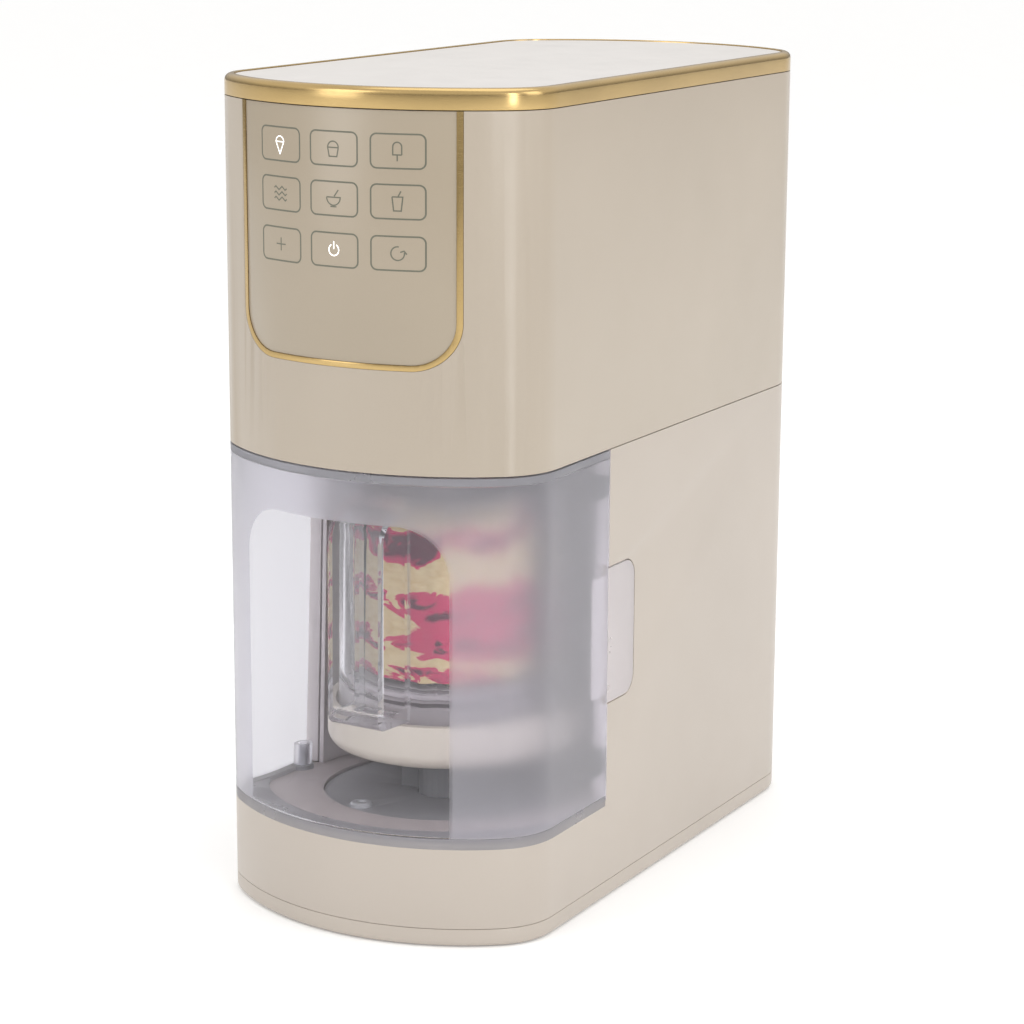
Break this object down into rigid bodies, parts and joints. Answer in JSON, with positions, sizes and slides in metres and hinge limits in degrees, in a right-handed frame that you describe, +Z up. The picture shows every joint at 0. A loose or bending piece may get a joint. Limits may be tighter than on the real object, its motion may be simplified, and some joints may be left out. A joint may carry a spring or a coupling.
{
  "type": "ice cream maker",
  "caption": "Tall countertop ice cream maker: touch-key drive housing over a chamber with a swinging windowed guard door, lifting jar platform, handled jar with tub, and descending blade.",
  "frame": {"origin": "under the middle of the base, on the surface it stands on", "axes": "+Z up, -Y towards the front with the door, +X to the right seen from the front"},
  "size_m": [0.173, 0.349, 0.4],
  "materials": {
    "cream_plastic": "satin pearl",
    "fascia_tan": "satin",
    "off_white": "satin",
    "gold_trim": "satin gold plated",
    "frosted_smoke": "frosted with a clear window",
    "grey_plastic": "fine matte",
    "dark_plastic": "fine matte",
    "black_rubber": "matte",
    "clear_plastic": "clear polished",
    "ice_cream": "soft, creamy, with a berry ripple",
    "steel": "bright",
    "brass": "machined",
    "nylon": "smooth",
    "board": "lacquered circuit board",
    "black_plastic": "matte"
  },
  "bodies": {
    "housing": {"bottom_cover": "cream_plastic", "lower_body": "cream_plastic", "upper_housing": "cream_plastic", "vent_grille": "cream_plastic", "fascia": "fascia_tan", "top_cover": "off_white", "trim_ring": "gold_trim", "fascia_frame": "gold_trim", "jar_lid": "frosted_smoke", "chamber_liner": "grey_plastic", "floor_tray": "grey_plastic", "lid_dock": "grey_plastic", "floor_disc": "dark_plastic", "foot_1": "black_rubber", "foot_2": "black_rubber", "foot_3": "black_rubber", "foot_4": "black_rubber", "cord_bush": "black_rubber", "bottom_screw_1": "steel", "bottom_screw_2": "steel", "bottom_screw_3": "steel", "bottom_screw_4": "steel", "gear_deck": "steel", "motor_bracket": "steel", "motor_can": "steel", "guide_rod_left": "steel", "guide_rod_right": "steel", "rod_bridge": "steel", "catch_plate_1": "steel", "catch_plate_2": "steel", "hinge_pin_lower": "steel", "hinge_pin_upper": "steel", "spindle_bush": "brass", "touch_board": "board", "power_board": "board", "feed_motor": "black_plastic"},
    "door": {"door_shell": "frosted_smoke", "door_rim": "frosted_smoke", "door_top_rail": "dark_plastic", "door_grip": "clear_plastic", "door_magnet_1": "black_plastic", "door_magnet_2": "black_plastic"},
    "lift_column": {"lift_column": "dark_plastic"},
    "platform": {"jar_platform": "cream_plastic", "platform_stem": "steel", "jar": "clear_plastic", "tub": "clear_plastic", "tub_contents": "ice_cream"},
    "lift_cam": {"lift_cam": "nylon"},
    "feed_carriage": {"feed_carriage": "grey_plastic", "spindle_bearing": "brass"},
    "spindle": {"spindle": "steel", "blade": "nylon"},
    "drive_gear": {"drive_gear": "nylon"},
    "motor_rotor": {"motor_rotor": "steel", "motor_pinion": "brass", "motor_fan": "black_plastic"},
    "feed_screw": {"feed_screw": "steel", "screw_gear": "nylon"},
    "feed_pinion": {"feed_pinion": "brass"}
  },
  "joints": [
    {"name": "door_swing", "type": "hinge", "parent": "housing", "child": "door", "pos_m": [-0.08, -0.08, 0.05], "axis": [0, 0, -1], "range_deg": [0, 100]},
    {"name": "platform_lift", "type": "slide", "parent": "housing", "child": "lift_column", "axis": [0, 0, -1], "range_m": [0, 0.022]},
    {"name": "platform_turn", "type": "hinge", "parent": "lift_column", "child": "platform", "pos_m": [0, -0.074, 0.08], "axis": [0, 0, 1], "range_deg": [0, 55]},
    {"name": "cam_turn", "type": "hinge", "parent": "housing", "child": "lift_cam", "pos_m": [0, -0.074, 0.01], "axis": [0, 0, 1], "range_deg": [0, 55]},
    {"name": "blade_feed", "type": "slide", "parent": "housing", "child": "feed_carriage", "axis": [0, 0, -1], "range_m": [0, 0.072], "deforming": ["tub_contents"]},
    {"name": "blade_spin", "type": "hinge", "parent": "feed_carriage", "child": "spindle", "pos_m": [0, -0.074, 0.3], "axis": [0, 0, 1], "continuous": true},
    {"name": "drive_gear_spin", "type": "hinge", "parent": "housing", "child": "drive_gear", "pos_m": [0, -0.074, 0.245], "axis": [0, 0, 1], "continuous": true},
    {"name": "motor_spin", "type": "hinge", "parent": "housing", "child": "motor_rotor", "pos_m": [0, -0.03385, 0.3], "axis": [0, 0, 1], "continuous": true},
    {"name": "feed_screw_turn", "type": "hinge", "parent": "housing", "child": "feed_screw", "pos_m": [0, -0.118, 0.3], "axis": [0, 0, 1], "range_deg": [0, 2160]},
    {"name": "feed_pinion_turn", "type": "hinge", "parent": "housing", "child": "feed_pinion", "pos_m": [0.0214, -0.118, 0.255], "axis": [0, 0, 1], "range_deg": [-5184, 0]}
  ],
  "couplings": [
    {"joint": "platform_lift", "follows": "platform_turn", "m_per_rad": 0.022918},
    {"joint": "cam_turn", "follows": "platform_turn", "ratio": 1},
    {"joint": "drive_gear_spin", "follows": "blade_spin", "ratio": 1},
    {"joint": "motor_spin", "follows": "blade_spin", "ratio": -3},
    {"joint": "feed_screw_turn", "follows": "blade_feed", "rad_per_m": 523.6},
    {"joint": "feed_pinion_turn", "follows": "blade_feed", "rad_per_m": -1256.6}
  ]
}
